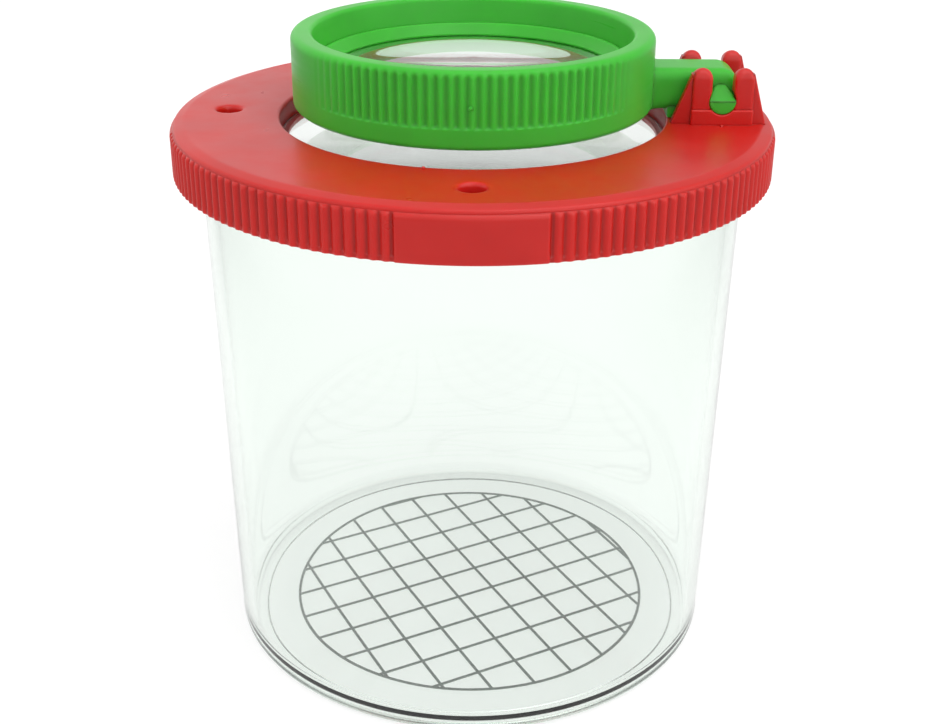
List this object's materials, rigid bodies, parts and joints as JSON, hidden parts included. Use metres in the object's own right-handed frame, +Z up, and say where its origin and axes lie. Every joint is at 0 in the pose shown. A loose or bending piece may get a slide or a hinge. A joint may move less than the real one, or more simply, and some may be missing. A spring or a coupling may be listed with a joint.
{
  "type": "bug catcher jar",
  "caption": "Clear tapered jar with a ribbed lid, a fixed lens in the lid, vents, a measuring grid in the floor and a hinged magnifier that folds down over the lens.",
  "frame": {"origin": "middle of the foot ring, on the surface the jar stands on", "axes": "+Z up along the jar's axis; +X from the jar's axis towards the magnifier's hinge"},
  "size_m": [0.0682, 0.0682, 0.0741],
  "materials": {
    "jar": "clear polished styrene",
    "lens": "clear polished lens plastic",
    "grid": "fine dark lines",
    "lid": "semi-gloss red moulding",
    "magnifier": "semi-gloss green moulding"
  },
  "bodies": {
    "jar": {"jar_body": "jar", "measuring_grid": "grid"},
    "lid": {"lid_ring": "lid", "field_lens": "lens"},
    "magnifier": {"magnifier_frame": "magnifier", "magnifier_lens": "lens", "lens_retainer": "magnifier"}
  },
  "joints": [
    {"name": "lid_lift", "type": "slide", "parent": "jar", "child": "lid", "axis": [0, 0, 1], "range_m": [0, 0.03]},
    {"name": "magnifier_hinge", "type": "hinge", "parent": "lid", "child": "magnifier", "pos_m": [0.02755, 0, 0.06737], "axis": [0, 1, 0], "range_deg": [0, 135]}
  ]
}
